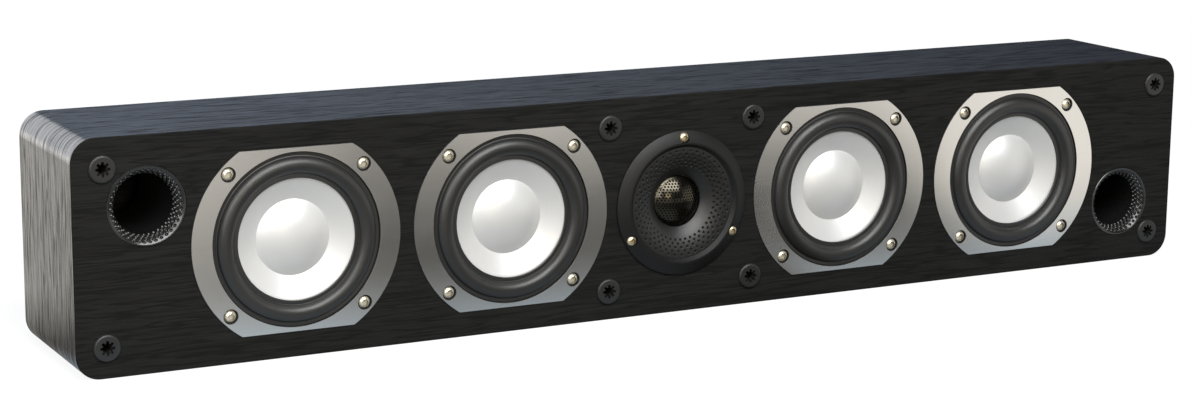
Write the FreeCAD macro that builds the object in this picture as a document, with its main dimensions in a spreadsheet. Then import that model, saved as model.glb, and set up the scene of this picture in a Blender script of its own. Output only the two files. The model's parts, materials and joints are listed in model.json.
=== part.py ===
import FreeCAD, Part
import Sketcher
import math
import os
import re

# An on-wall speaker: a long shallow cabinet with four woofers, a horn tweeter and two bass ports.
# Millimetres. +X runs along the cabinet, to the right of someone who faces it, +Y runs back through
# its depth and +Z is up. The origin is the middle of the bottom face.
# Depths on the front are counted from the face of the baffle, and are positive into the cabinet.

SIZES = {
    # Cabinet
    "length": 673,
    "depth": 88.5,
    "height": 120,
    "corner_radius": 12.5,
    "wall": 12,
    "inner_radius": 3,
    "baffle_thickness": 15,
    "back_thickness": 12,
    "front_chamfer": 0.5,
    "panel_gap": 0.2,
    "divider_thickness": 9,
    "divider_x": 47,
    # Places on the baffle
    "woofer_outer_x": 221,
    "woofer_inner_x": 101.5,
    "driver_height": 60.5,
    "port_inset": 37.5,
    "port_rise": 24.5,
    "socket_inset": 15.6,
    "socket_inner_x": 44,
    "socket_rise": 44.4,
    # Woofer trim plate
    "plate_radius": 56,
    "plate_flat": 47.2,
    "plate_opening": 44.9,
    "plate_thickness": 2,
    "plate_proud": 0.5,
    "plate_chamfer": 0.15,
    "rebate_gap": 0.2,
    # Woofer basket
    "flange_thickness": 2.5,
    "basket_radius": 44.7,
    "basket_wall": 1.6,
    "cutout_gap": 0.6,
    "rim_inner": 42.4,
    "barrel_depth": 9,
    "ledge_radius": 38,
    "ledge_width": 3,
    "ledge_depth": 19.5,
    "seat_radius": 31.5,
    "seat_depth": 29.4,
    "seat_thickness": 1.6,
    "seat_hole": 16,
    "window_inner": 39.2,
    "window_outer": 42.2,
    "window_angle": 44,
    "window_count": 6,
    # Woofer surround, cone and dust cap
    "land_recess": 0.4,
    "surround_thickness": 0.8,
    "surround_outer": 44.5,
    "roll_outer": 42.6,
    "roll_inner": 33.8,
    "roll_rise": 3.4,
    "lip_inner": 31.4,
    "glue_gap": 0.1,
    "cone_rim": 33.6,
    "cone_edge": 31.2,
    "cone_depth": 8.75,
    "cone_thickness": 0.8,
    "cap_radius": 19.7,
    "cap_rise": 6.6,
    "cap_thickness": 0.7,
    # Woofer voice coil and spider
    "coil_inner": 12.6,
    "coil_outer": 13.2,
    "coil_tuck": 1.2,
    "winding_outer": 13.45,
    "winding_front": 29,
    "coil_back": 39,
    "spider_thickness": 0.6,
    "spider_wave": 1.6,
    "spider_land": 2.4,
    # Woofer motor
    "top_plate_radius": 30,
    "top_plate_thickness": 5,
    "gap_radius": 13.9,
    "magnet_radius": 36,
    "magnet_inner": 17,
    "magnet_thickness": 14,
    "yoke_radius": 30,
    "yoke_thickness": 5,
    "pole_radius": 12.1,
    # Woofer screws
    "woofer_screw_offset": 36.05,
    "woofer_head_radius": 3.1,
    "woofer_head_gap": 0.7,
    "woofer_head_height": 2.2,
    "woofer_shank_radius": 1.9,
    "woofer_screw_length": 12,
    "woofer_socket_flats": 3.2,
    "screw_gap": 0.15,
    # Tweeter face plate
    "face_radius": 39.5,
    "face_edge": 1,
    "ring_top": 33.4,
    "ring_inner": 32.4,
    "ring_crest": 3.8,
    "ring_round": 24,
    "horn_mouth": 30.6,
    "mouth_proud": 1.9,
    "horn_curve": 22,
    "horn_throat": 14.3,
    "horn_depth": 4.6,
    "horn_back": 7.2,
    "horn_body": 31.5,
    "horn_body_depth": 3,
    "neck_wall": 2.5,
    # Tweeter screws
    "tweeter_screw_circle": 35.9,
    "tweeter_screw_seat": 1.4,
    "tweeter_head_radius": 2.8,
    "tweeter_head_height": 2,
    "tweeter_shank_radius": 1.5,
    "tweeter_screw_length": 13,
    "tweeter_socket_flats": 2.7,
    # Tweeter guard, dome and motor
    "mesh_radius": 14,
    "mesh_base": 5.2,
    "mesh_rise": 6.1,
    "mesh_thickness": 0.6,
    "dome_radius": 10.4,
    "dome_base": 6.6,
    "dome_rise": 4.4,
    "dome_thickness": 0.4,
    "tweeter_coil_inner": 10,
    "tweeter_coil_back": 12.6,
    "suspension_outer": 13.2,
    "suspension_land": 0.8,
    "suspension_rise": 0.7,
    "suspension_thickness": 0.35,
    "tweeter_gap_radius": 11,
    "tweeter_pole_radius": 9.5,
    "tweeter_plate_radius": 30,
    "tweeter_plate_thickness": 4,
    "tweeter_magnet_inner": 16,
    "tweeter_magnet_thickness": 9,
    "tweeter_yoke_radius": 27,
    "tweeter_yoke_thickness": 4,
    # Bass ports
    "port_mouth": 19.4,
    "port_flange": 20.2,
    "port_flange_thickness": 2.3,
    "port_proud": 0.3,
    "port_bore": 15.2,
    "port_wall": 3.2,
    "flare_depth": 6.5,
    "port_length": 58,
    # Grille sockets
    "socket_flange": 7,
    "socket_proud": 1.4,
    "socket_round": 1.3,
    "socket_body": 5,
    "socket_bore": 2.6,
    "socket_length": 10,
    "lobe_reach": 3.85,
    "lobe_width": 1.5,
    "lobe_depth": 3,
    "lobe_count": 8,
    # Terminal cup
    "hardware_recess": 1.7,
    "cup_flange_width": 80,
    "cup_flange_height": 56,
    "cup_flange_thickness": 2.5,
    "cup_width": 62,
    "cup_height": 38,
    "cup_depth": 22.3,
    "cup_wall": 2,
    "cup_radius": 6,
    "cup_screw_x": 34.5,
    "cup_screw_z": 22.5,
    # Binding posts and their caps
    "post_spacing": 19,
    "post_radius": 3,
    "post_bore": 2,
    "post_bore_depth": 16,
    "post_tail": 8,
    "post_end": 2.8,
    "post_collar_radius": 5.6,
    "post_collar": 2.5,
    "post_nut_radius": 5,
    "post_nut": 4,
    "thread_gap": 0.06,
    "cap_lift": 0.3,
    "cap_grip_radius": 7.2,
    "cap_length": 14,
    "cap_chamfer": 1,
    "flute_radius": 0.9,
    "flute_count": 12,
    # Keyhole plates for hanging on a wall
    "keyhole_inset": 116.5,
    "keyhole_height": 84,
    "keyhole_width": 44,
    "keyhole_tall": 24,
    "keyhole_thickness": 1.5,
    "keyhole_corner": 4,
    "keyhole_entry": 5,
    "keyhole_drop": 4,
    "keyhole_slot": 2.5,
    "keyhole_slot_rise": 8,
    "keyhole_pocket": 6,
    "keyhole_pocket_margin": 2,
    "keyhole_screw_x": 17,
    # Screws of the back
    "panel_head_radius": 2.8,
    "panel_head_height": 1.5,
    "panel_shank_radius": 1.5,
    "panel_screw_length": 9,
    # Crossover
    "board_x": 161,
    "board_width": 62,
    "board_height": 80,
    "board_thickness": 1.6,
    "board_screw_margin": 4,
    "inductor_radius": 12,
    "inductor_hole": 5,
    "inductor_height": 13,
    "capacitor_radius": 6.5,
    "capacitor_length": 26,
    "resistor_side": 8,
    "resistor_length": 22,
}

SPIDER_FOLDS = 6

doc = FreeCAD.newDocument("on_wall_speaker")
sheet = doc.addObject("Spreadsheet::Sheet", "Sizes")
for row, (name, number) in enumerate(SIZES.items(), 1):
    sheet.set("A%d" % row, name)
    sheet.set("B%d" % row, str(number))
    sheet.setAlias("B%d" % row, name)
doc.recompute()

parts = []

# Places along the depth, counted from the face of the baffle
FACE = "-depth / 2"
BACK = "depth / 2"
FLANGE_FRONT = "(plate_thickness - plate_proud)"
REBATE = "(plate_thickness - plate_proud + flange_thickness)"
RIM_FRONT = "(land_recess + surround_thickness)"
CONE_FRONT = "(land_recess + surround_thickness + glue_gap)"
CONE_SLOPE = "(cone_depth / (cone_edge - coil_outer))"
MOTOR_FRONT = "(seat_depth + seat_thickness)"
MAGNET_FRONT = "(seat_depth + seat_thickness + top_plate_thickness)"
YOKE_FRONT = "(seat_depth + seat_thickness + top_plate_thickness + magnet_thickness)"
INNER_BACK = "(depth - back_thickness)"
CUP_FLOOR = "(hardware_recess + cup_depth)"

PORT_X = "(length / 2 - port_inset)"
KEYHOLE_X = "(length / 2 - keyhole_inset)"
WOOFER_PLACES = ("-woofer_outer_x", "-woofer_inner_x", "woofer_inner_x", "woofer_outer_x")


def value(text):
    """The number that a text in the sheet's names stands for."""
    return float(sheet.evalExpression(text))


def bound(text):
    """The same text as an expression that another object can be tied to."""
    return re.sub(r"[a-z]\w*", lambda word: "Sizes." + word[0] if word[0] in SIZES else word[0], text)


def sub_part(item):
    """Counts an object as one of the speaker's pieces."""
    parts.append(item)
    return item


def new_body(label):
    body = doc.addObject("PartDesign::Body", label)
    body.Label = label
    return body


def place(item, across, back, up):
    """Ties an object's place to the sheet."""
    item.setExpression("Placement.Base.x", bound(across))
    item.setExpression("Placement.Base.y", bound(back))
    item.setExpression("Placement.Base.z", bound(up))
    return item


def origin_part(body, role):
    return next(item for item in body.Origin.OriginFeatures if item.Role == role)


def new_sketch(body, name, role, back="0"):
    """A sketch on one of the body's own planes, or behind its upright plane by a depth."""
    sketch = body.newObject("Sketcher::SketchObject", name)
    sketch.AttachmentSupport = [(origin_part(body, role), "")]
    sketch.MapMode = "FlatFace"
    sketch.setExpression("AttachmentOffset.Base.z", bound("-(%s)" % back))
    return sketch


def front_sketch(body, name, back="0"):
    """A sketch seen from the front, with X across and Z up."""
    return new_sketch(body, name, "XZ_Plane", back)


def tie(sketch, kind, text, *ends):
    index = sketch.addConstraint(Sketcher.Constraint(kind, *ends, value(text)))
    sketch.setExpression("Constraints[%d]" % index, bound(text))


def tie_point(sketch, geometry, end, across, up):
    tie(sketch, "DistanceX", across, -1, 1, geometry, end)
    tie(sketch, "DistanceY", up, -1, 1, geometry, end)


def arc_between(start, end, radius, side):
    """The short arc from start to end that bulges to the left of the way (side 1) or the right (-1)."""
    chord = end - start
    left = FreeCAD.Vector(-chord.y, chord.x, 0).normalize()
    inset = math.sqrt(max(radius**2 - chord.Length**2 / 4, 0))
    centre = (start + end) * 0.5 - left * (side * inset)
    ring = Part.Circle(centre, FreeCAD.Vector(0, 0, 1), radius)
    first, last = (end, start) if side > 0 else (start, end)
    angles = [math.atan2(point.y - centre.y, point.x - centre.x) for point in (first, last)]
    return Part.ArcOfCircle(ring, *angles)


def outline(sketch, corners, bows=()):
    """A closed outline through corners. bows maps a corner's index to (radius, side) where the edge
    that leaves it is an arc, bulging to the left (1) or right (-1) of the way round."""
    bows = dict(bows)
    points = [FreeCAD.Vector(value(across), value(up), 0) for across, up in corners]
    starts, stops = [], []
    for index, start in enumerate(points):
        end = points[(index + 1) % len(points)]
        if index in bows:
            radius, side = bows[index]
            edge = sketch.addGeometry(arc_between(start, end, value(radius), side), False)
            tie(sketch, "Radius", radius, edge)
            ends = (2, 1) if side > 0 else (1, 2)
        else:
            edge = sketch.addGeometry(Part.LineSegment(start, end), False)
            ends = (1, 2)
        starts.append((edge, ends[0]))
        stops.append((edge, ends[1]))
    for index, corner in enumerate(corners):
        sketch.addConstraint(Sketcher.Constraint("Coincident", *stops[index - 1], *starts[index]))
        tie_point(sketch, *starts[index], *corner)


def circle(sketch, across, up, radius):
    centre = FreeCAD.Vector(value(across), value(up), 0)
    ring = sketch.addGeometry(Part.Circle(centre, FreeCAD.Vector(0, 0, 1), value(radius)), False)
    tie_point(sketch, ring, 3, across, up)
    tie(sketch, "Radius", radius, ring)


def rounded_rectangle(sketch, across, up, width, height, radius):
    """A rectangle about a point, with its four corners rounded."""
    left, right = "%s - (%s) / 2" % (across, width), "%s + (%s) / 2" % (across, width)
    low, high = "%s - (%s) / 2" % (up, height), "%s + (%s) / 2" % (up, height)
    corners = [
        (left + " + " + radius, low),
        (right + " - " + radius, low),
        (right, low + " + " + radius),
        (right, high + " - " + radius),
        (right + " - " + radius, high),
        (left + " + " + radius, high),
        (left, high + " - " + radius),
        (left, low + " + " + radius),
    ]
    outline(sketch, corners, {index: (radius, -1) for index in (1, 3, 5, 7)})


def flatted_disc(sketch, across, up, radius, flat):
    """A disc cut by a flat above and a flat below, at a distance from its centre."""
    half = "sqrt((%s) ^ 2 - (%s) ^ 2)" % (radius, flat)
    corners = [
        ("%s - %s" % (across, half), "%s - (%s)" % (up, flat)),
        ("%s + %s" % (across, half), "%s - (%s)" % (up, flat)),
        ("%s + %s" % (across, half), "%s + (%s)" % (up, flat)),
        ("%s - %s" % (across, half), "%s + (%s)" % (up, flat)),
    ]
    outline(sketch, corners, {1: (radius, -1), 3: (radius, -1)})


def hexagon(sketch, flats):
    """A hexagon about the axis, from its width across flats."""
    tip, side = "(%s) / sqrt(3)" % flats, "(%s) / 2" % flats
    half = "(%s) / sqrt(12)" % flats
    outline(
        sketch,
        [
            (tip, "0"),
            (half, side),
            ("-" + half, side),
            ("-" + tip, "0"),
            ("-" + half, "-" + side),
            (half, "-" + side),
        ],
    )


def pad(body, name, sketch, length, to_front=False):
    """Thickens a front sketch towards the back, or towards the front."""
    feature = body.newObject("PartDesign::Pad", name)
    feature.Profile = sketch
    feature.setExpression("Length", bound(length))
    feature.Reversed = not to_front
    return feature


def pocket(body, name, sketch, depth=None, to_front=False):
    """Cuts a front sketch back into the body to a depth, or right through."""
    feature = body.newObject("PartDesign::Pocket", name)
    feature.Profile = sketch
    feature.Reversed = to_front
    if depth is None:
        feature.Type = "ThroughAll"
    else:
        feature.setExpression("Length", bound(depth))
    return feature


def ring_of(body, name, feature, count):
    """Repeats a cut round the body's Y axis."""
    pattern = body.newObject("PartDesign::PolarPattern", name)
    pattern.Originals = [feature]
    pattern.Axis = (origin_part(body, "Y_Axis"), [""])
    pattern.Angle = 360
    pattern.setExpression("Occurrences", bound(count))
    body.Tip = pattern
    return pattern


def chamfer_front(body, feature, size):
    """Breaks every edge of the body's front face."""
    doc.recompute()
    faces = feature.Shape.Faces
    front = min(range(len(faces)), key=lambda index: faces[index].CenterOfMass.y)
    broken = body.newObject("PartDesign::Chamfer", body.Label + "_chamfer")
    broken.Base = (feature, ["Face%d" % (front + 1)])
    broken.setExpression("Size", bound(size))
    return broken


def turned(label, corners, bows=()):
    """A piece turned about the Y axis: corners are (radius, depth)."""
    body = new_body(label)
    sketch = new_sketch(body, label + "_profile", "XY_Plane")
    outline(sketch, corners, bows)
    feature = body.newObject("PartDesign::Revolution", label + "_turn")
    feature.Profile = sketch
    feature.ReferenceAxis = (sketch, ["V_Axis"])
    feature.Angle = 360
    return body


def ring_corners(inner, outer, front, back):
    """The section of a plain ring or tube."""
    return [(inner, front), (outer, front), (outer, back), (inner, back)]


def group(label, form, spots, flipped=False):
    """One node of identical solids: copies of a form at spots, turned to face the front if flipped."""
    doc.recompute()
    copies = []
    for across, back, up in spots:
        copy = form.Shape.copy()
        if flipped:
            copy.rotate(FreeCAD.Vector(), FreeCAD.Vector(0, 0, 1), 180)
        copy.translate(FreeCAD.Vector(value(across), value(back), value(up)))
        copies.append(copy)
    feature = doc.addObject("Part::Feature", label)
    feature.Label = label
    feature.Shape = Part.makeCompound(copies)
    feature.Placement = FreeCAD.Placement()
    return sub_part(feature)


def dome_radius_text(reach, rise):
    """The radius of an arc from its half width and its rise."""
    return "(((%s) ^ 2 + (%s) ^ 2) / (2 * (%s)))" % (reach, rise, rise)


def four_ways(across, up):
    """The four corners of a rectangle about the axis."""
    return [(i + across, j + up) for i in ("-", "") for j in ("-", "")]


def tweeter_screw_places():
    """Three places on the screw circle: one on top and two below."""
    side = "tweeter_screw_circle * sqrt(3) / 2"
    low = "-tweeter_screw_circle / 2"
    return [("0", "tweeter_screw_circle"), ("-" + side, low), (side, low)]


def woofer_screw_places():
    """The sixteen places across and up of the woofer screws."""
    spots = []
    for across in WOOFER_PLACES:
        for aside, up in four_ways("woofer_screw_offset", "woofer_screw_offset"):
            spots.append(("(%s) + (%s)" % (across, aside), "driver_height + (%s)" % up))
    return spots


def port_places():
    """The left port is high and the right one is low."""
    return [("-" + PORT_X, "height / 2 + port_rise"), (PORT_X, "height / 2 - port_rise")]


def socket_places():
    spots = []
    for reach in ("(length / 2 - socket_inset)", "socket_inner_x"):
        spots += [(across, "height / 2 + (%s)" % up) for across, up in four_ways(reach, "socket_rise")]
    return spots


# Cabinet


def cabinet_shell():
    """The wrapped frame of four boards, rounded at its corners."""
    body = sub_part(new_body("cabinet_shell"))
    place(body, "0", FACE + " + baffle_thickness", "0")
    sketch = front_sketch(body, "shell_outline")
    rounded_rectangle(sketch, "0", "height / 2", "length", "height", "corner_radius")
    rounded_rectangle(
        sketch, "0", "height / 2", "length - 2 * wall", "height - 2 * wall", "inner_radius"
    )
    pad(body, "shell_pad", sketch, "depth - baffle_thickness")


def front_baffle():
    """The front board, with rebates and holes for all that it carries."""
    body = sub_part(new_body("front_baffle"))
    place(body, "0", FACE, "0")
    sketch = front_sketch(body, "baffle_outline")
    rounded_rectangle(sketch, "0", "height / 2", "length", "height", "corner_radius")
    board = pad(body, "baffle_pad", sketch, "baffle_thickness")
    chamfer_front(body, board, "front_chamfer")

    rebates = front_sketch(body, "woofer_rebates")
    cutouts = front_sketch(body, "woofer_cutouts")
    for across in WOOFER_PLACES:
        flatted_disc(
            rebates, across, "driver_height", "plate_radius + rebate_gap", "plate_flat + rebate_gap"
        )
        circle(cutouts, across, "driver_height", "basket_radius + cutout_gap")
    pocket(body, "woofer_rebate", rebates, REBATE)
    circle(cutouts, "0", "driver_height", "horn_body + cutout_gap")
    for across, up in port_places():
        circle(cutouts, across, up, "port_bore + port_wall + rebate_gap")
    pocket(body, "driver_cutout", cutouts)

    pilots = front_sketch(body, "pilot_holes")
    for across, up in woofer_screw_places():
        circle(pilots, across, up, "woofer_shank_radius + screw_gap")
    for across, up in tweeter_screw_places():
        circle(pilots, across, "driver_height + (%s)" % up, "tweeter_shank_radius + screw_gap")
    pocket(body, "pilot_hole", pilots)

    lips = front_sketch(body, "port_rebates")
    for across, up in port_places():
        circle(lips, across, up, "port_flange + rebate_gap")
    pocket(body, "port_rebate", lips, "port_flange_thickness - port_proud")

    holes = front_sketch(body, "socket_holes")
    for across, up in socket_places():
        circle(holes, across, up, "socket_body + rebate_gap")
    pocket(body, "socket_hole", holes, "socket_length + rebate_gap")


def back_panel():
    """The board that closes the back, rebated for the terminal cup and the keyhole plates."""
    body = sub_part(new_body("back_panel"))
    place(body, "0", BACK + " - back_thickness", "0")
    sketch = front_sketch(body, "back_outline")
    rounded_rectangle(
        sketch,
        "0",
        "height / 2",
        "length - 2 * wall - 2 * panel_gap",
        "height - 2 * wall - 2 * panel_gap",
        "(inner_radius - panel_gap)",
    )
    pad(body, "back_pad", sketch, "back_thickness")

    rebate = front_sketch(body, "cup_rebate_outline", "back_thickness")
    rounded_rectangle(
        rebate,
        "0",
        "height / 2",
        "cup_flange_width + 2 * rebate_gap",
        "cup_flange_height + 2 * rebate_gap",
        "(cup_radius + rebate_gap)",
    )
    pocket(body, "cup_rebate", rebate, "hardware_recess + cup_flange_thickness", True)
    opening = front_sketch(body, "cup_opening_outline")
    rounded_rectangle(
        opening,
        "0",
        "height / 2",
        "cup_width + 2 * cup_wall + 2 * rebate_gap",
        "cup_height + 2 * cup_wall + 2 * rebate_gap",
        "cup_radius",
    )
    pocket(body, "cup_opening", opening)

    beds = front_sketch(body, "keyhole_beds", "back_thickness")
    wells = front_sketch(body, "keyhole_wells", "back_thickness")
    for across in ("-" + KEYHOLE_X, KEYHOLE_X):
        rounded_rectangle(
            beds,
            across,
            "keyhole_height",
            "keyhole_width + 2 * rebate_gap",
            "keyhole_tall + 2 * rebate_gap",
            "(keyhole_corner + rebate_gap)",
        )
        rounded_rectangle(
            wells,
            across,
            "keyhole_height",
            "2 * keyhole_entry + 2 * keyhole_pocket_margin",
            "keyhole_tall - 2 * rebate_gap",
            "keyhole_corner",
        )
    pocket(body, "keyhole_bed", beds, "hardware_recess + keyhole_thickness", True)
    pocket(body, "keyhole_well", wells, "hardware_recess + keyhole_thickness + keyhole_pocket", True)

    pilots = front_sketch(body, "panel_pilot_holes")
    for across, up in cup_screw_places() + keyhole_screw_places():
        circle(pilots, across, up, "panel_shank_radius + screw_gap")
    pocket(body, "panel_pilot_hole", pilots)
    blind = front_sketch(body, "board_pilot_holes")
    for across, up in board_screw_places():
        circle(blind, across, up, "panel_shank_radius + screw_gap")
    pocket(body, "board_pilot_hole", blind, "panel_screw_length - board_thickness + rebate_gap")


def cabinet_dividers():
    """Two boards that part the woofers' chambers from the tweeter's."""
    for label, across in (("divider_left", "-divider_x"), ("divider_right", "divider_x")):
        board = sub_part(doc.addObject("Part::Box", label))
        board.Label = label
        board.setExpression("Length", bound("divider_thickness"))
        board.setExpression("Width", bound("depth - baffle_thickness - back_thickness"))
        board.setExpression("Height", bound("height - 2 * wall"))
        place(board, across + " - divider_thickness / 2", FACE + " + baffle_thickness", "wall")


# Woofers


def seat_on_woofer(body, across):
    return sub_part(place(body, across, FACE, "driver_height"))


def woofer_trim(label, across):
    """The brushed plate: a disc with two flats round the surround."""
    body = seat_on_woofer(new_body(label), across)
    sketch = front_sketch(body, label + "_outline", "-plate_proud")
    flatted_disc(sketch, "0", "0", "plate_radius", "plate_flat")
    circle(sketch, "0", "0", "plate_opening")
    for aside, up in four_ways("woofer_screw_offset", "woofer_screw_offset"):
        circle(sketch, aside, up, "woofer_head_radius + woofer_head_gap")
    plate = pad(body, label + "_pad", sketch, "plate_thickness")
    chamfer_front(body, plate, "plate_chamfer")


def woofer_basket(label, across):
    """The frame: a flange behind the trim plate, a vented bowl and the seat of the motor."""
    throat = "ledge_radius - basket_wall - ledge_width"
    corners = [
        ("rim_inner", RIM_FRONT),
        ("basket_radius", RIM_FRONT),
        ("basket_radius", "barrel_depth"),
        ("ledge_radius", "ledge_depth"),
        ("ledge_radius", "ledge_depth + basket_wall"),
        ("seat_radius", "seat_depth"),
        ("seat_radius", MOTOR_FRONT),
        ("seat_hole", MOTOR_FRONT),
        ("seat_hole", "seat_depth"),
        ("seat_radius - basket_wall", "seat_depth"),
        (throat, "ledge_depth + basket_wall"),
        (throat, "ledge_depth"),
        ("ledge_radius - basket_wall", "ledge_depth"),
        ("basket_radius - basket_wall", "barrel_depth"),
        ("basket_radius - basket_wall", RIM_FRONT + " + basket_wall"),
        ("rim_inner", RIM_FRONT + " + basket_wall"),
    ]
    body = seat_on_woofer(turned(label, corners), across)
    flange = front_sketch(body, label + "_flange_outline", FLANGE_FRONT)
    flatted_disc(flange, "0", "0", "plate_radius", "plate_flat")
    circle(flange, "0", "0", "basket_radius - basket_wall")
    for aside, up in four_ways("woofer_screw_offset", "woofer_screw_offset"):
        circle(flange, aside, up, "woofer_shank_radius + screw_gap")
    pad(body, label + "_flange", flange, "flange_thickness")

    window = front_sketch(body, label + "_window_outline", RIM_FRONT + " + basket_wall")
    aside, up = "cos(window_angle / 2)", "sin(window_angle / 2)"
    outline(
        window,
        [
            ("window_inner * " + aside, "-window_inner * " + up),
            ("window_outer * " + aside, "-window_outer * " + up),
            ("window_outer * " + aside, "window_outer * " + up),
            ("window_inner * " + aside, "window_inner * " + up),
        ],
        {1: ("window_outer", -1), 3: ("window_inner", 1)},
    )
    ring_of(body, label + "_windows", pocket(body, label + "_window", window), "window_count")


def woofer_surround(label, across):
    """The rubber half roll between the basket's rim and the cone."""
    reach = "(roll_outer - roll_inner) / 2"
    corners = [
        ("lip_inner", "land_recess"),
        ("roll_inner", "land_recess"),
        ("roll_outer", "land_recess"),
        ("surround_outer", "land_recess"),
        ("surround_outer", RIM_FRONT),
        ("roll_outer - surround_thickness", RIM_FRONT),
        ("roll_inner + surround_thickness", RIM_FRONT),
        ("lip_inner", RIM_FRONT),
    ]
    bows = {
        1: (dome_radius_text(reach, "roll_rise"), -1),
        5: (dome_radius_text(reach + " - surround_thickness", "roll_rise"), 1),
    }
    seat_on_woofer(turned(label, corners, bows), across)


def woofer_cone(label, across):
    """The shallow cone, with a flat rim under the surround and its neck on the voice coil."""
    neck = CONE_FRONT + " + cone_depth"
    corners = [
        ("coil_outer", neck),
        ("cone_edge", CONE_FRONT),
        ("cone_rim", CONE_FRONT),
        ("cone_rim", CONE_FRONT + " + cone_thickness"),
        ("cone_edge", CONE_FRONT + " + cone_thickness"),
        ("coil_outer", neck + " + cone_thickness"),
    ]
    seat_on_woofer(turned(label, corners), across)


def woofer_dust_cap(label, across):
    """The large domed cap, glued to the face of the cone."""
    seam = "(%s + (cone_edge - cap_radius) * %s - glue_gap)" % (CONE_FRONT, CONE_SLOPE)
    crest = seam + " - cap_rise"
    inner_rise = "(cap_rise - cap_thickness + cap_thickness * %s)" % CONE_SLOPE
    corners = [
        ("0", crest),
        ("cap_radius", seam),
        ("cap_radius - cap_thickness", "%s + cap_thickness * %s" % (seam, CONE_SLOPE)),
        ("0", crest + " + cap_thickness"),
    ]
    bows = {
        0: (dome_radius_text("cap_radius", "cap_rise"), -1),
        2: (dome_radius_text("cap_radius - cap_thickness", inner_rise), 1),
    }
    seat_on_woofer(turned(label, corners, bows), across)


def woofer_voice_coil(label, across):
    """The coil's former, with the winding at its back end."""
    front = CONE_FRONT + " + cone_depth - coil_tuck"
    corners = [
        ("coil_inner", front),
        ("coil_outer", front),
        ("coil_outer", "winding_front"),
        ("winding_outer", "winding_front"),
        ("winding_outer", "coil_back"),
        ("coil_inner", "coil_back"),
    ]
    seat_on_woofer(turned(label, corners), across)


def woofer_spider(label, across):
    """The folded cloth disc that centres the coil."""
    inner = "(coil_outer + glue_gap)"
    land = "(ledge_radius - basket_wall - spider_land)"
    back = "(ledge_depth - glue_gap)"
    fold = []
    for index in range(SPIDER_FOLDS + 1):
        radius = "%s + (%s - %s) * %d / %d" % (inner, land, inner, index, SPIDER_FOLDS)
        fold.append((radius, back + (" - spider_wave" if index % 2 else "")))
    fold.append(("ledge_radius - basket_wall - glue_gap", back))
    front = [(radius, depth + " - spider_thickness") for radius, depth in fold]
    seat_on_woofer(turned(label, front + fold[::-1]), across)


def woofer_motors():
    """The four motors: a top plate, a ring magnet and a yoke with its pole."""
    spots = [(across, FACE, "driver_height") for across in WOOFER_PLACES]
    top = turned(
        "top_plate_form", ring_corners("gap_radius", "top_plate_radius", MOTOR_FRONT, MAGNET_FRONT)
    )
    group("woofer_top_plates", top, spots)
    magnet = turned(
        "magnet_form", ring_corners("magnet_inner", "magnet_radius", MAGNET_FRONT, YOKE_FRONT)
    )
    group("woofer_magnets", magnet, spots)
    yoke = turned(
        "yoke_form",
        [
            ("0", MOTOR_FRONT),
            ("pole_radius", MOTOR_FRONT),
            ("pole_radius", YOKE_FRONT),
            ("yoke_radius", YOKE_FRONT),
            ("yoke_radius", YOKE_FRONT + " + yoke_thickness"),
            ("0", YOKE_FRONT + " + yoke_thickness"),
        ],
    )
    group("woofer_yokes", yoke, spots)


def socket_screw(label, head, height, shank, length, flats):
    """A button-head screw with a hexagon socket, seated at depth 0."""
    corners = [
        ("0", "-" + height),
        (head + " / 2", "-" + height),
        (head, "-%s / 3" % height),
        (head, "0"),
        (shank, "0"),
        (shank, "%s - %s" % (length, shank)),
        ("0", length),
    ]
    body = turned(label, corners, {1: (head, -1)})
    socket = front_sketch(body, label + "_socket_outline", "-" + height)
    hexagon(socket, flats)
    pocket(body, label + "_socket", socket, height + " * 0.6")
    return body


def screws():
    """The screws of the drivers."""
    form = socket_screw(
        "woofer_screw_form",
        "woofer_head_radius",
        "woofer_head_height",
        "woofer_shank_radius",
        "woofer_screw_length",
        "woofer_socket_flats",
    )
    seat = FACE + " + " + FLANGE_FRONT
    spots = [(across, seat, up) for across, up in woofer_screw_places()]
    group("woofer_screws", form, spots)
    form = socket_screw(
        "tweeter_screw_form",
        "tweeter_head_radius",
        "tweeter_head_height",
        "tweeter_shank_radius",
        "tweeter_screw_length",
        "tweeter_socket_flats",
    )
    seat = FACE + " - tweeter_screw_seat"
    spots = [(across, seat, "driver_height + (%s)" % up) for across, up in tweeter_screw_places()]
    group("tweeter_screws", form, spots)


# Tweeter


def seat_on_tweeter(body):
    return sub_part(place(body, "0", FACE, "driver_height"))


def tweeter_ring():
    """The raised rounded ring that holds the horn, with the seats of its screws."""
    corners = [
        ("horn_mouth", "-mouth_proud"),
        ("ring_inner", "-ring_crest"),
        ("ring_top", "-ring_crest"),
        ("face_radius", "-face_edge"),
        ("face_radius", "0"),
        ("horn_body", "0"),
        ("horn_body", "horn_body_depth"),
        ("horn_mouth", "horn_body_depth"),
    ]
    body = seat_on_tweeter(turned("tweeter_ring", corners, {2: ("ring_round", -1)}))
    seats = front_sketch(body, "tweeter_screw_seats", "-2 * ring_crest")
    holes = front_sketch(body, "tweeter_screw_holes", "-2 * ring_crest")
    for across, up in tweeter_screw_places():
        circle(seats, across, up, "tweeter_head_radius + screw_gap")
        circle(holes, across, up, "tweeter_shank_radius + screw_gap")
    pocket(body, "tweeter_screw_seat_cut", seats, "2 * ring_crest - tweeter_screw_seat")
    pocket(body, "tweeter_screw_hole", holes)


def tweeter_horn():
    """The flared horn, from its mouth in the ring down to the throat on the top plate."""
    corners = [
        ("horn_throat", "horn_depth"),
        ("horn_mouth", "-mouth_proud"),
        ("horn_mouth", "horn_body_depth"),
        ("horn_throat + neck_wall", "horn_back"),
        ("horn_throat", "horn_back"),
    ]
    seat_on_tweeter(turned("tweeter_horn", corners, {0: ("horn_curve", -1)}))


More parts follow.
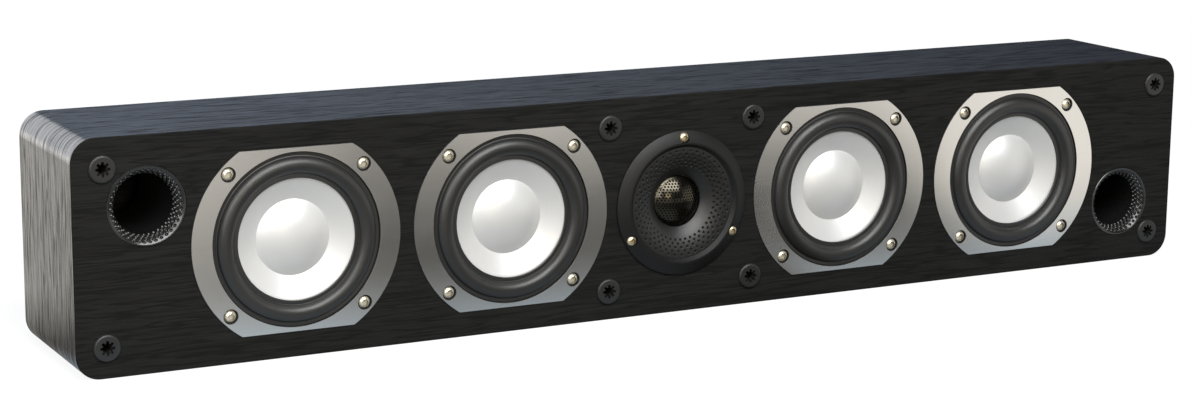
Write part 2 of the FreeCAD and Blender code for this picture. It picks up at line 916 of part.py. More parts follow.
def tweeter_mesh():
    """The domed guard, standing on the top plate by its skirt."""
    inner = "mesh_radius - mesh_thickness"
    corners = [
        ("0", "mesh_base - mesh_rise"),
        ("mesh_radius", "mesh_base"),
        ("mesh_radius", "horn_back"),
        (inner, "horn_back"),
        (inner, "mesh_base"),
        ("0", "mesh_base - mesh_rise + mesh_thickness"),
    ]
    bows = {
        0: (dome_radius_text("mesh_radius", "mesh_rise"), -1),
        4: (dome_radius_text(inner, "mesh_rise - mesh_thickness"), 1),
    }
    seat_on_tweeter(turned("tweeter_mesh", corners, bows))


def tweeter_dome():
    """The small dome that sounds, on its voice coil."""
    inner = "dome_radius - dome_thickness"
    corners = [
        ("0", "dome_base - dome_rise"),
        ("dome_radius", "dome_base"),
        (inner, "dome_base"),
        ("0", "dome_base - dome_rise + dome_thickness"),
    ]
    bows = {
        0: (dome_radius_text("dome_radius", "dome_rise"), -1),
        2: (dome_radius_text(inner, "dome_rise - dome_thickness"), 1),
    }
    seat_on_tweeter(turned("tweeter_dome", corners, bows))
    coil = ring_corners("tweeter_coil_inner", "dome_radius", "dome_base", "tweeter_coil_back")
    seat_on_tweeter(turned("tweeter_voice_coil", coil))


def tweeter_suspension():
    """The soft ring between the dome and the top plate."""
    inner = "(dome_radius + glue_gap)"
    land = "(suspension_outer - suspension_land)"
    front = "horn_back - suspension_thickness"
    corners = [
        (inner, front),
        (land, front),
        ("suspension_outer", front),
        ("suspension_outer", "horn_back"),
        (land, "horn_back"),
        (inner, "horn_back - suspension_thickness / 2"),
    ]
    bows = {0: (dome_radius_text("(%s - %s) / 2" % (land, inner), "suspension_rise"), -1)}
    seat_on_tweeter(turned("tweeter_suspension", corners, bows))


def tweeter_motor():
    """The tweeter's top plate, ring magnet and yoke."""
    magnet_front = "(horn_back + tweeter_plate_thickness)"
    yoke_front = "(horn_back + tweeter_plate_thickness + tweeter_magnet_thickness)"
    plate = ring_corners("tweeter_gap_radius", "tweeter_plate_radius", "horn_back", magnet_front)
    seat_on_tweeter(turned("tweeter_top_plate", plate))
    magnet = ring_corners("tweeter_magnet_inner", "tweeter_plate_radius", magnet_front, yoke_front)
    seat_on_tweeter(turned("tweeter_magnet", magnet))
    yoke = [
        ("0", "horn_back"),
        ("tweeter_pole_radius", "horn_back"),
        ("tweeter_pole_radius", yoke_front),
        ("tweeter_yoke_radius", yoke_front),
        ("tweeter_yoke_radius", yoke_front + " + tweeter_yoke_thickness"),
        ("0", yoke_front + " + tweeter_yoke_thickness"),
    ]
    seat_on_tweeter(turned("tweeter_yoke", yoke))


# Ports and grille sockets


def bass_ports():
    """Two straight tubes with flared mouths, let into the baffle."""
    outer = "port_bore + port_wall"
    lip_back = "port_flange_thickness - port_proud"
    corners = [
        ("port_mouth", "-port_proud"),
        ("port_flange", "-port_proud"),
        ("port_flange", lip_back),
        (outer, lip_back),
        (outer, "port_length"),
        ("port_bore", "port_length"),
        ("port_bore", "flare_depth"),
    ]
    flare = dome_radius_text("flare_depth + port_proud", "port_mouth - port_bore")
    for label, (across, up) in zip(("port_left", "port_right"), port_places()):
        sub_part(place(turned(label, corners, {6: (flare, -1)}), across, FACE, up))


def grille_sockets():
    """Eight push-in sockets for the pegs of a grille, each with a lobed mouth."""
    corners = [
        ("socket_bore", "-socket_proud"),
        ("socket_flange - socket_round", "-socket_proud"),
        ("socket_flange", "socket_round - socket_proud"),
        ("socket_flange", "0"),
        ("socket_body", "0"),
        ("socket_body", "socket_length"),
        ("socket_bore", "socket_length"),
    ]
    form = turned("grille_socket_form", corners, {1: ("socket_round", -1)})
    lobe = front_sketch(form, "lobe_outline", "-socket_proud")
    rounded_rectangle(
        lobe, "lobe_reach / 2", "0", "lobe_reach", "lobe_width", "(lobe_width * 0.3)"
    )
    ring_of(form, "lobes", pocket(form, "lobe", lobe, "lobe_depth"), "lobe_count")
    group("grille_sockets", form, [(across, FACE, up) for across, up in socket_places()])


# Back


def cup_screw_places():
    return [(across, "height / 2 + (%s)" % up) for across, up in four_ways("cup_screw_x", "cup_screw_z")]


def keyhole_screw_places():
    spots = []
    for across in ("-" + KEYHOLE_X, KEYHOLE_X):
        spots += [(across + side + "keyhole_screw_x", "keyhole_height") for side in (" - ", " + ")]
    return spots


def board_screw_places():
    aside, up = "(board_width / 2 - board_screw_margin)", "(board_height / 2 - board_screw_margin)"
    return [("board_x + " + x, "height / 2 + " + z) for x, z in four_ways(aside, up)]


def terminal_cup():
    """The moulded cup let into the back, with a hole for each binding post."""
    body = sub_part(new_body("terminal_cup"))
    place(body, "0", BACK + " - hardware_recess", "height / 2")
    flange = front_sketch(body, "cup_flange_outline")
    rounded_rectangle(flange, "0", "0", "cup_flange_width", "cup_flange_height", "cup_radius")
    for across, up in four_ways("cup_screw_x", "cup_screw_z"):
        circle(flange, across, up, "panel_shank_radius + screw_gap")
    pad(body, "cup_flange", flange, "cup_flange_thickness", True)
    well = front_sketch(body, "cup_well_outline")
    rounded_rectangle(
        well, "0", "0", "cup_width + 2 * cup_wall", "cup_height + 2 * cup_wall", "cup_radius"
    )
    pad(body, "cup_well", well, "cup_depth + cup_wall", True)
    hollow = front_sketch(body, "cup_hollow_outline")
    rounded_rectangle(hollow, "0", "0", "cup_width", "cup_height", "(cup_radius - cup_wall)")
    pocket(body, "cup_hollow", hollow, "cup_depth", True)
    holes = front_sketch(body, "post_holes", "-cup_depth - 2 * cup_wall")
    for across in ("-post_spacing / 2", "post_spacing / 2"):
        circle(holes, across, "0", "post_radius + screw_gap")
    pocket(body, "post_hole", holes)


def binding_posts():
    """Two threaded posts, bored for a plug, each held in the cup by a collar and a nut."""
    floor = "-" + CUP_FLOOR
    end = "-hardware_recess - post_end"
    corners = [
        ("0", floor + " - cup_wall - post_tail"),
        ("post_radius", floor + " - cup_wall - post_tail"),
        ("post_radius", floor + " - cup_wall - post_nut"),
        ("post_nut_radius", floor + " - cup_wall - post_nut"),
        ("post_nut_radius", floor + " - cup_wall"),
        ("post_radius", floor + " - cup_wall"),
        ("post_radius", floor),
        ("post_collar_radius", floor),
        ("post_collar_radius", floor + " + post_collar"),
        ("post_radius", floor + " + post_collar"),
        ("post_radius", end),
        ("post_bore", end),
        ("post_bore", end + " - post_bore_depth"),
        ("0", end + " - post_bore_depth"),
    ]
    form = turned("binding_post_form", corners)
    spots = [(across, BACK, "height / 2") for across in ("-post_spacing / 2", "post_spacing / 2")]
    group("binding_posts", form, spots)


def terminal_caps():
    """The fluted caps that screw down on the posts."""
    front = "-%s + post_collar + cap_lift" % CUP_FLOOR
    bore = "post_radius + thread_gap"
    corners = [
        (bore, front),
        ("cap_grip_radius - cap_chamfer", front),
        ("cap_grip_radius", front + " + cap_chamfer"),
        ("cap_grip_radius", front + " + cap_length - cap_chamfer"),
        ("cap_grip_radius - cap_chamfer", front + " + cap_length"),
        (bore, front + " + cap_length"),
    ]
    for label, across in (
        ("terminal_cap_red", "-post_spacing / 2"),
        ("terminal_cap_black", "post_spacing / 2"),
    ):
        body = sub_part(place(turned(label, corners), across, BACK, "height / 2"))
        flute = front_sketch(body, label + "_flute_outline", "-" + CUP_FLOOR)
        circle(flute, "cap_grip_radius + flute_radius / 2", "0", "flute_radius")
        ring_of(body, label + "_flutes", pocket(body, label + "_flute", flute), "flute_count")


def keyhole_plates():
    """Two steel plates that hook over the heads of wall screws."""
    form = new_body("keyhole_plate_form")
    sketch = front_sketch(form, "keyhole_outline")
    rounded_rectangle(sketch, "0", "0", "keyhole_width", "keyhole_tall", "keyhole_corner")
    for side in ("-", ""):
        circle(sketch, side + "keyhole_screw_x", "0", "panel_shank_radius + screw_gap")
    pad(form, "keyhole_pad", sketch, "keyhole_thickness")
    entry = front_sketch(form, "keyhole_entry_outline")
    circle(entry, "0", "-keyhole_drop", "keyhole_entry")
    pocket(form, "keyhole_entry_cut", entry)
    slot = front_sketch(form, "keyhole_slot_outline")
    rounded_rectangle(
        slot,
        "0",
        "(keyhole_slot_rise / 2 - keyhole_drop)",
        "2 * keyhole_slot",
        "keyhole_slot_rise + 2 * keyhole_slot",
        "(keyhole_slot * 0.99)",
    )
    pocket(form, "keyhole_slot_cut", slot)
    back = BACK + " - hardware_recess - keyhole_thickness"
    group("keyhole_plates", form, [(x, back, "keyhole_height") for x in ("-" + KEYHOLE_X, KEYHOLE_X)])


def panel_screws():
    """The small pan-head screws of the cup, the keyhole plates and the crossover board."""
    corners = [
        ("0", "-panel_screw_length"),
        ("panel_shank_radius", "panel_shank_radius - panel_screw_length"),
        ("panel_shank_radius", "0"),
        ("panel_head_radius", "0"),
        ("panel_head_radius", "panel_head_height / 3"),
        ("panel_head_radius / 2", "panel_head_height"),
        ("0", "panel_head_height"),
    ]
    form = turned("panel_screw_form", corners, {4: ("panel_head_radius", -1)})
    doc.recompute()
    rear = BACK + " - hardware_recess"
    spots = [(across, rear, up) for across, up in cup_screw_places() + keyhole_screw_places()]
    solids = []
    for across, back, up in spots:
        copy = form.Shape.copy()
        copy.translate(FreeCAD.Vector(value(across), value(back), value(up)))
        solids.append(copy)
    for across, up in board_screw_places():
        copy = form.Shape.copy()
        copy.rotate(FreeCAD.Vector(), FreeCAD.Vector(0, 0, 1), 180)
        board_front = BACK + " - back_thickness - board_thickness"
        copy.translate(FreeCAD.Vector(value(across), value(board_front), value(up)))
        solids.append(copy)
    feature = doc.addObject("Part::Feature", "panel_screws")
    feature.Label = "panel_screws"
    feature.Shape = Part.makeCompound(solids)
    feature.Placement = FreeCAD.Placement()
    sub_part(feature)


def crossover():
    """The filter board on the inside of the back, with its coils, capacitors and resistors."""
    board = sub_part(new_body("crossover_board"))
    board_front = BACK + " - back_thickness - board_thickness"
    place(board, "board_x", board_front, "height / 2")
    sketch = front_sketch(board, "board_outline")
    rounded_rectangle(sketch, "0", "0", "board_width", "board_height", "(board_thickness)")
    aside, up = "(board_width / 2 - board_screw_margin)", "(board_height / 2 - board_screw_margin)"
    for x, z in four_ways(aside, up):
        circle(sketch, x, z, "panel_shank_radius + screw_gap")
    pad(board, "board_pad", sketch, "board_thickness")

    winding = turned(
        "inductor_form", ring_corners("inductor_hole", "inductor_radius", "-inductor_height", "0")
    )
    coil_rise = "(board_height / 2 - inductor_radius - board_screw_margin)"
    coil_aside = "(board_width / 4 - board_thickness)"
    spots = [("board_x - " + coil_aside, board_front, "height / 2 + " + coil_rise)]
    spots.append(("board_x - " + coil_aside, board_front, "height / 2 - " + coil_rise))
    group("inductors", winding, spots)

    can = doc.addObject("Part::Cylinder", "capacitor_form")
    can.setExpression("Radius", bound("capacitor_radius"))
    can.setExpression("Height", bound("capacitor_length"))
    spots = []
    for step in (-1, 0, 1):
        rise = "height / 2 - capacitor_length / 2 + (%d) * (capacitor_length + board_thickness)" % step
        spots.append(("board_x + board_width / 5", board_front + " - capacitor_radius", rise))
    group("capacitors", can, spots)

    block = doc.addObject("Part::Box", "resistor_form")
    block.setExpression("Length", bound("resistor_side"))
    block.setExpression("Width", bound("resistor_side"))
    block.setExpression("Height", bound("resistor_length"))
    spots = []
    for side in ("-", "+"):
        across = "board_x - board_width / 4 %s resistor_side * 0.75 - resistor_side / 2" % side
        spots.append((across, board_front + " - resistor_side", "height / 2 - resistor_length / 2"))
    group("resistors", block, spots)


cabinet_shell()
front_baffle()
back_panel()
cabinet_dividers()
for number, across in enumerate(WOOFER_PLACES, 1):
    woofer_trim("woofer_%d_trim" % number, across)
    woofer_basket("woofer_%d_basket" % number, across)
    woofer_surround("woofer_%d_surround" % number, across)
    woofer_cone("woofer_%d_cone" % number, across)
    woofer_dust_cap("woofer_%d_dust_cap" % number, across)
    woofer_voice_coil("woofer_%d_voice_coil" % number, across)
    woofer_spider("woofer_%d_spider" % number, across)
woofer_motors()
screws()
tweeter_ring()
tweeter_horn()
tweeter_mesh()
tweeter_dome()
tweeter_suspension()
tweeter_motor()
bass_ports()
grille_sockets()
terminal_cup()
binding_posts()
terminal_caps()
keyhole_plates()
panel_screws()
crossover()
doc.recompute()

for item in doc.Objects:
    if "Invalid" in item.State or "Error" in item.State:
        raise RuntimeError("%s failed: %s" % (item.Label, item.State))
    if item.TypeId == "PartDesign::Pocket" and item.Shape.Volume >= item.BaseFeature.Shape.Volume:
        raise RuntimeError("%s cuts nothing" % item.Label)
for item in parts:
    if item.Shape.isNull() or not item.Shape.isValid():
        raise RuntimeError("%s has no valid shape" % item.Label)

os.makedirs("parts", exist_ok=True)
for item in parts:
    item.Shape.exportStep("parts/%s.step" % item.Label)
print("%d sub-parts, %d solids" % (len(parts), sum(len(item.Shape.Solids) for item in parts)))
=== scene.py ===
# %% [markdown]
# # A long wall speaker, dressed on its packed frame
#
# The solids of this speaker come from its CAD model: the cabinet, the trim plates, the screws and all
# that is inside. This lesson gives them finishes, and makes anew the pieces whose charm is in fine
# relief or soft rubber: surrounds, cones, dust caps, the tweeter's horn and guard, and the bass ports.

# %% Load the frame
import json
import math

import bpy
import bmesh
import numpy as np
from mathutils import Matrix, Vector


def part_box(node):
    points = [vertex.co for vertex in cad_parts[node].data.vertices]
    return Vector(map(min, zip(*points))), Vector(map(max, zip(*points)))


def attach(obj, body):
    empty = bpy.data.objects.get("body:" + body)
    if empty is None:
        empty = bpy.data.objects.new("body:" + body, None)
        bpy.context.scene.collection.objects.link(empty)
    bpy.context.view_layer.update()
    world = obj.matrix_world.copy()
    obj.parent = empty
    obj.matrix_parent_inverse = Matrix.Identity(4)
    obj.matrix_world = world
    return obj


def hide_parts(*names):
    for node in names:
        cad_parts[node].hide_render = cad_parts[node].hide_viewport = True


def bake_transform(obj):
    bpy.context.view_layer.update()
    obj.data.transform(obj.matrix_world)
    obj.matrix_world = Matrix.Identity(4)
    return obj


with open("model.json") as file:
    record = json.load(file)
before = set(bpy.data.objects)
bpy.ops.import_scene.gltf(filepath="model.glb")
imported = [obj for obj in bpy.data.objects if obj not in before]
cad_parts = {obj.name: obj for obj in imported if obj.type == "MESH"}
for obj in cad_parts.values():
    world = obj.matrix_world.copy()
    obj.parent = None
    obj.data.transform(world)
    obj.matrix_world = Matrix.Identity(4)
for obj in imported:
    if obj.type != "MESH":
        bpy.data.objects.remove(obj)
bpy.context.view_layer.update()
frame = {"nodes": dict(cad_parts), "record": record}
nodes = frame["nodes"]
MM = 0.001
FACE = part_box("front_baffle")[0].y
print("nodes:", len(nodes), "face of the baffle at y =", round(FACE, 5))

# %% [markdown]
# ## Profiles and lathe work
#
# Nearly everything on the front is round, so the pieces are turned: a profile of (radius, depth) points
# in millimetres is carried round an axis. Depth counts from the face of the baffle, into the cabinet.
# Working on whole arrays keeps this quick, and a relief can push each point along the profile's normal.


# %% Lathe helpers
# Edges that bend more than this stay sharp
CREASE = math.radians(35)


def centre_of(node):
    """The middle of a node across and up, in metres."""
    low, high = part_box(node)
    return (low.x + high.x) / 2, (low.z + high.z) / 2


def run(*points):
    """A straight run of profile points."""
    return np.array(points, float)


def bow(start, end, rise, count):
    """Circular arc from start to end. Its middle stands off the chord by rise, to the left of the way:
    radius = (half chord^2 + rise^2) / (2 |rise|), swept by plus and minus asin(half chord / radius)."""
    start, end = np.array(start, float), np.array(end, float)
    half = np.linalg.norm(end - start) / 2
    along = (end - start) / (2 * half)
    left = np.array([-along[1], along[0]])
    radius = (half**2 + rise**2) / (2 * abs(rise))
    sweep = np.linspace(-1, 1, count) * math.asin(min(half / radius, 1))
    lift = np.sign(rise) * (radius * np.cos(sweep) - (radius - abs(rise)))
    return (start + end) / 2 + np.outer(radius * np.sin(sweep), along) + np.outer(lift, left)


def fill(points, step):
    """The same path with points no further apart than step, spaced evenly along its length."""
    length = np.r_[0, np.cumsum(np.linalg.norm(np.diff(points, axis=0), axis=1))]
    at = np.linspace(0, length[-1], max(2, int(math.ceil(length[-1] / step)) + 1))
    return np.c_[np.interp(at, length, points[:, 0]), np.interp(at, length, points[:, 1])]


def finish_mesh(name, points, faces):
    """A mesh object from arrays, with doubles merged, faces turned outwards and only real edges sharp."""
    mesh = bpy.data.meshes.new(name)
    mesh.from_pydata(points.reshape(-1, 3).tolist(), [], faces.tolist())
    shell = bmesh.new()
    shell.from_mesh(mesh)
    bmesh.ops.remove_doubles(shell, verts=shell.verts, dist=1e-7)
    bmesh.ops.dissolve_degenerate(shell, edges=shell.edges, dist=1e-8)
    bmesh.ops.recalc_face_normals(shell, faces=shell.faces)
    shell.to_mesh(mesh)
    shell.free()
    mesh.shade_smooth()
    mesh.set_sharp_from_angle(angle=CREASE)
    piece = bpy.data.objects.new(name, mesh)
    bpy.context.scene.collection.objects.link(piece)
    return piece


def grid_faces(rows, columns):
    """Quads of a grid that closes both round its rows and round its columns."""
    i, j = np.meshgrid(np.arange(rows), np.arange(columns), indexing="ij")
    up, over = (i + 1) % rows, (j + 1) % columns
    quads = [i * columns + j, i * columns + over, up * columns + over, up * columns + j]
    return np.stack(quads, -1).reshape(-1, 4)


def turn(name, profile, centre, steps, relief=None):
    """A closed profile carried round the axis: x = cx + r cos a, y = face + depth, z = cz + r sin a.
    relief(a) is a height in millimetres for each profile point, along the profile's left-hand normal."""
    angle = np.linspace(0, 2 * np.pi, steps, endpoint=False)[:, None]
    radius = np.broadcast_to(profile[:, 0], (steps, len(profile)))
    depth = np.broadcast_to(profile[:, 1], (steps, len(profile)))
    if relief is not None:
        way = np.roll(profile, -1, 0) - np.roll(profile, 1, 0)
        way /= np.maximum(np.linalg.norm(way, axis=1, keepdims=True), 1e-9)
        height = relief(angle)
        radius = radius - height * way[:, 1]
        depth = depth + height * way[:, 0]
    points = np.stack(
        [
            centre[0] + radius * np.cos(angle) * MM,
            FACE + depth * MM,
            centre[1] + radius * np.sin(angle) * MM,
        ],
        -1,
    )
    return finish_mesh(name, points, grid_faces(steps, len(profile)))


def dimples(profile, first, last, rows, around, size, depth):
    """Staggered rows of round hollows on part of a profile. In each cell the hollow is a paraboloid,
    depth (1 - distance^2 / size^2), and every second row is turned by half a pitch."""
    length = np.r_[0, np.cumsum(np.linalg.norm(np.diff(profile, axis=0), axis=1))]
    start, stop = length[first], length[last]
    place = (length - start) / (stop - start) * rows
    row = np.clip(np.floor(place), 0, rows - 1)
    along = (place - row - 0.5) * (stop - start) / rows

    def relief(angle):
        cell = angle * around / (2 * np.pi) + 0.5 * (row % 2)
        aside = (cell - np.floor(cell) - 0.5) * 2 * np.pi * profile[:, 0] / around
        inside = (np.arange(len(profile)) >= first) & (np.arange(len(profile)) <= last)
        return depth * np.maximum(0, 1 - (aside**2 + along**2) / size**2) * inside

    return relief


print("lathe ready; test arc:", bow((0, 0), (2, 0), 0.5, 3).round(3).tolist())

# %% [markdown]
# ## Material helpers
#
# Every finish here is a small node tree round one Principled shader. Two effects come back in many of
# them, so they are node groups: cloudy unevenness for moulded and painted faces, and ash grain, long
# pores in one direction with broader bands of figure behind them.


# %% Node helpers
def node(tree, kind, inputs=(), **settings):
    """A node with settings; an input is a number, a colour or another node's socket to link from."""
    made = tree.nodes.new(kind)
    for key, setting in settings.items():
        setattr(made, key, setting)
    for key, source in dict(inputs).items():
        if isinstance(source, bpy.types.NodeSocket):
            tree.links.new(source, made.inputs[key])
        else:
            made.inputs[key].default_value = source
    return made


def maths(tree, operation, first, second=0.0, third=0.0):
    """One step of arithmetic on sockets or numbers."""
    made = node(tree, "ShaderNodeMath", {0: first, 1: second, 2: third}, operation=operation)
    return made.outputs[0]


def mixed(tree, factor, first, second):
    """A colour between first and second."""
    made = node(tree, "ShaderNodeMix", {0: factor, 6: first, 7: second}, data_type="RGBA")
    return made.outputs[2]


def ranged(tree, value, low, high, to_low=0.0, to_high=1.0):
    """The value carried from one range to another, and held at the ends."""
    inputs = {"Value": value, "From Min": low, "From Max": high, "To Min": to_low, "To Max": to_high}
    return node(tree, "ShaderNodeMapRange", inputs).outputs[0]


def new_group(name, inputs, outputs):
    """An empty node group with float, vector or colour sockets, and its input and output nodes."""
    group = bpy.data.node_groups.new(name, "ShaderNodeTree")
    kinds = {"v": "NodeSocketVector", "c": "NodeSocketColor", "f": "NodeSocketFloat"}
    for title, kind in inputs:
        group.interface.new_socket(title, in_out="INPUT", socket_type=kinds[kind])
    for title, kind in outputs:
        group.interface.new_socket(title, in_out="OUTPUT", socket_type=kinds[kind])
    return group, group.nodes.new("NodeGroupInput").outputs, group.nodes.new("NodeGroupOutput").inputs


def placed(tree, group, inputs):
    """A node group set into a tree; gives its outputs."""
    return node(tree, "ShaderNodeGroup", inputs, node_tree=group).outputs


def new_finish(name, **sockets):
    """A material with its Principled shader's plain sockets set by name."""
    material = bpy.data.materials.new(name)
    material.use_nodes = True
    tree = material.node_tree
    shader = tree.nodes["Principled BSDF"]
    for key, setting in sockets.items():
        shader.inputs[key.replace("_", " ")].default_value = setting
    place = node(tree, "ShaderNodeTexCoord").outputs["Object"]
    return material, tree, shader, place


def bump(tree, shader, height, distance, strength=1.0):
    """Bends the shader's normal by a height, whose full scale is distance, in metres."""
    made = node(tree, "ShaderNodeBump", {"Height": height, "Distance": distance, "Strength": strength})
    tree.links.new(made.outputs[0], shader.inputs["Normal"])


helpers = (node, maths, mixed, ranged, new_group, placed, new_finish, bump)
print("node helpers:", [helper.__name__ for helper in helpers])


# %% Groups for unevenness and ash grain
def make_clouds():
    """Colour and roughness that wander a little, with a fine pebbled height."""
    group, given, result = new_group(
        "uneven_surface",
        [("Place", "v"), ("Colour", "c"), ("Scale", "f"), ("Amount", "f"), ("Roughness", "f")],
        [("Colour", "c"), ("Roughness", "f"), ("Height", "f")],
    )
    broad = node(group, "ShaderNodeTexNoise", {"Vector": given["Place"], "Scale": 35.0, "Detail": 4.0})
    pebble = {"Vector": given["Place"], "Scale": given["Scale"], "Detail": 3.0}
    fine = node(group, "ShaderNodeTexNoise", pebble)
    shift = maths(group, "ADD", broad.outputs[0], fine.outputs[0])
    shift = maths(group, "SUBTRACT", shift, 1.0)
    gain = maths(group, "MULTIPLY_ADD", shift, given["Amount"], 1.0)
    tinted = node(group, "ShaderNodeVectorMath", {0: given["Colour"], 1: gain}, operation="MULTIPLY")
    group.links.new(tinted.outputs[0], result["Colour"])
    rough = maths(group, "MULTIPLY", shift, maths(group, "MULTIPLY", given["Amount"], 0.35))
    group.links.new(maths(group, "ADD", rough, given["Roughness"]), result["Roughness"])
    group.links.new(fine.outputs[0], result["Height"])
    return group


def make_grain():
    """Long pores and broad figure. Place is stretched: x and y follow the grain slowly, z crosses it."""
    group, given, result = new_group(
        "ash_grain", [("Place", "v")], [("Pores", "f"), ("Figure", "f"), ("Height", "f")]
    )
    wander = node(group, "ShaderNodeTexNoise", {"Vector": given["Place"], "Scale": 0.3, "Detail": 2.0})
    drift = node(
        group, "ShaderNodeVectorMath", {0: wander.outputs["Color"], 1: (0, 0, 0.5)}, operation="MULTIPLY"
    )
    bent = node(group, "ShaderNodeVectorMath", {0: given["Place"], 1: drift.outputs[0]}, operation="ADD")
    bent = bent.outputs[0]
    long_noise = {"Vector": bent, "Scale": 0.66, "Detail": 2.0, "Roughness": 0.5}
    streaks = node(group, "ShaderNodeTexNoise", long_noise)
    short_noise = {"Vector": bent, "Scale": 2.6, "Detail": 4.0, "Roughness": 0.65}
    pores = node(group, "ShaderNodeTexNoise", short_noise)
    figure = node(group, "ShaderNodeTexNoise", {"Vector": bent, "Scale": 0.3, "Detail": 3.0})
    off_line = maths(group, "ABSOLUTE", maths(group, "SUBTRACT", streaks.outputs[0], 0.5))
    long_line = ranged(group, off_line, 0.01, 0.045)
    fine_pore = ranged(group, pores.outputs[0], 0.4, 0.56, 0.45, 1.0)
    solid = maths(group, "MULTIPLY", long_line, fine_pore)
    group.links.new(solid, result["Pores"])
    group.links.new(ranged(group, figure.outputs[0], 0.35, 0.65), result["Figure"])
    group.links.new(maths(group, "MULTIPLY_ADD", figure.outputs[0], 0.12, solid), result["Height"])
    return group


CLOUDS = make_clouds()
GRAIN = make_grain()


def moulded(name, colour, roughness, scale, amount, relief, **sockets):
    """A finish of one colour with the uneven surface group."""
    material, tree, shader, place = new_finish(name, **sockets)
    inputs = {"Place": place, "Colour": (*colour, 1), "Scale": scale}
    uneven = placed(tree, CLOUDS, {**inputs, "Amount": amount, "Roughness": roughness})
    tree.links.new(uneven["Colour"], shader.inputs["Base Color"])
    tree.links.new(uneven["Roughness"], shader.inputs["Roughness"])
    bump(tree, shader, uneven["Height"], relief)
    return material


print("groups:", [group.name for group in bpy.data.node_groups])

# %% [markdown]
# ## Black ash wrap
#
# The cabinet is wrapped in a black vinyl with pressed ash grain. One sheet goes round the long sides and
# the ends, so its grain runs along the top and turns down the ends; another covers the front, with grain
# along the length. The face's own normal chooses between the two, so the seam is at the real edge. The
# sheet has a thin lacquer that shows at a low angle, and less of it in the open pores. The front is duller.


# %% Black ash finish
ALONG_GRAIN, ACROSS_GRAIN = 22.0, 420.0


def black_ash(name, light, dark, roughness):
    """Pressed ash grain between a light and a dark shade, with next to no lacquer on front and back."""
    sockets = {"Specular_IOR_Level": 0.03, "Coat_Roughness": 0.24, "Coat_IOR": 2.0}
    material, tree, shader, place = new_finish(name, **sockets)
    facing = node(tree, "ShaderNodeTexCoord").outputs["Normal"]
    split = node(tree, "ShaderNodeSeparateXYZ", {0: facing}).outputs
    frontal = maths(tree, "GREATER_THAN", maths(tree, "ABSOLUTE", split[1]), 0.7)
    spot = node(tree, "ShaderNodeSeparateXYZ", {0: place}).outputs
    slow_x = maths(tree, "MULTIPLY", spot[0], ALONG_GRAIN)
    slow_z = maths(tree, "MULTIPLY", spot[2], ALONG_GRAIN)
    quick_y = maths(tree, "MULTIPLY", spot[1], ACROSS_GRAIN)
    quick_z = maths(tree, "MULTIPLY", spot[2], ACROSS_GRAIN)
    around = node(tree, "ShaderNodeCombineXYZ", {0: slow_x, 1: slow_z, 2: quick_y}).outputs[0]
    across = node(tree, "ShaderNodeCombineXYZ", {0: slow_x, 1: 3.0, 2: quick_z}).outputs[0]
    chosen = node(tree, "ShaderNodeMix", {0: frontal, 4: around, 5: across}, data_type="VECTOR").outputs[1]
    grain = placed(tree, GRAIN, {"Place": chosen})
    shallow = maths(tree, "MULTIPLY_ADD", frontal, -0.3, 1.0)
    open_pore = maths(tree, "MULTIPLY", maths(tree, "SUBTRACT", 1.0, grain["Pores"]), shallow)
    pores = mixed(tree, open_pore, (*light, 1), (*dark, 1))
    shade = mixed(tree, maths(tree, "MULTIPLY", grain["Figure"], 0.3), pores, (*dark, 1))
    tree.links.new(shade, shader.inputs["Base Color"])
    rough = maths(tree, "MULTIPLY_ADD", open_pore, 0.3, roughness)
    rough = maths(tree, "MULTIPLY_ADD", frontal, 0.1, rough)
    tree.links.new(rough, shader.inputs["Roughness"])
    sheen = maths(tree, "MULTIPLY_ADD", frontal, -0.99, 1.0)
    lacquer = maths(tree, "MULTIPLY", ranged(tree, open_pore, 0.0, 1.0, 1.0, 0.35), sheen)
    tree.links.new(lacquer, shader.inputs["Coat Weight"])
    bump(tree, shader, maths(tree, "MULTIPLY", grain["Height"], shallow), 0.00013, 0.7)
    return material


finishes = {
    "black_ash": black_ash("black_ash_wrap", (0.019, 0.019, 0.0183), (0.0078, 0.0078, 0.0077), 0.34),
    # The back's wrap is a copy about twice as light: painted light for the dimly lit back
    "back_board": black_ash("back_board_wrap", (0.038, 0.038, 0.039), (0.02, 0.02, 0.0205), 0.45),
}
print("finishes:", list(finishes))

# %% [markdown]
# ## Metals
#
# The trim plates are satin aluminium with fine lines drawn along the cabinet, and their cut edges are
# duller and darkened with painted shade. The screws are brass with painted shade on their socket walls,
# and the cones are thin metal with a pearly satin coat. Stretched noise gives the drawn lines: it varies
# quickly across them and slowly along them. Edges and socket walls are told apart by their normals, so
# they need no faces of their own.


# %% Metal finishes
SOCKET_DEPTH = 1.4


def drawn_metal(name, colour, roughness, stretch, depth, painted_shade=None, metallic=1.0):
    """Metal with drawn lines. An optional mask maker (tree, place, normal) picks faces for painted shade."""
    material, tree, shader, place = new_finish(name, Metallic=metallic)
    lines = node(tree, "ShaderNodeMapping", {"Vector": place, "Scale": stretch}).outputs[0]
    brush = node(tree, "ShaderNodeTexNoise", {"Vector": lines, "Scale": 1.0, "Detail": 5.0, "Roughness": 0.7})
    cloud = node(tree, "ShaderNodeTexNoise", {"Vector": place, "Scale": 30.0, "Detail": 3.0})
    dull = [channel * 0.8 for channel in colour]
    shade = mixed(tree, brush.outputs[0], (*dull, 1), (*colour, 1))
    wander = maths(tree, "MULTIPLY_ADD", cloud.outputs[0], 0.12, roughness - 0.06)
    rough = maths(tree, "MULTIPLY_ADD", brush.outputs[0], 0.1, wander)
    if painted_shade is not None:
        normal = node(tree, "ShaderNodeTexCoord").outputs["Normal"]
        mask = painted_shade(tree, place, normal)
        # Painted shade: the masked faces drop to a sixth of the colour and get rougher
        shade = mixed(tree, mask, shade, (*[channel * 0.16 for channel in colour], 1))
        rough = maths(tree, "MULTIPLY_ADD", mask, 0.3, rough)
    tree.links.new(shade, shader.inputs["Base Color"])
    tree.links.new(rough, shader.inputs["Roughness"])
    bump(tree, shader, brush.outputs[0], depth, 0.5)
    return material


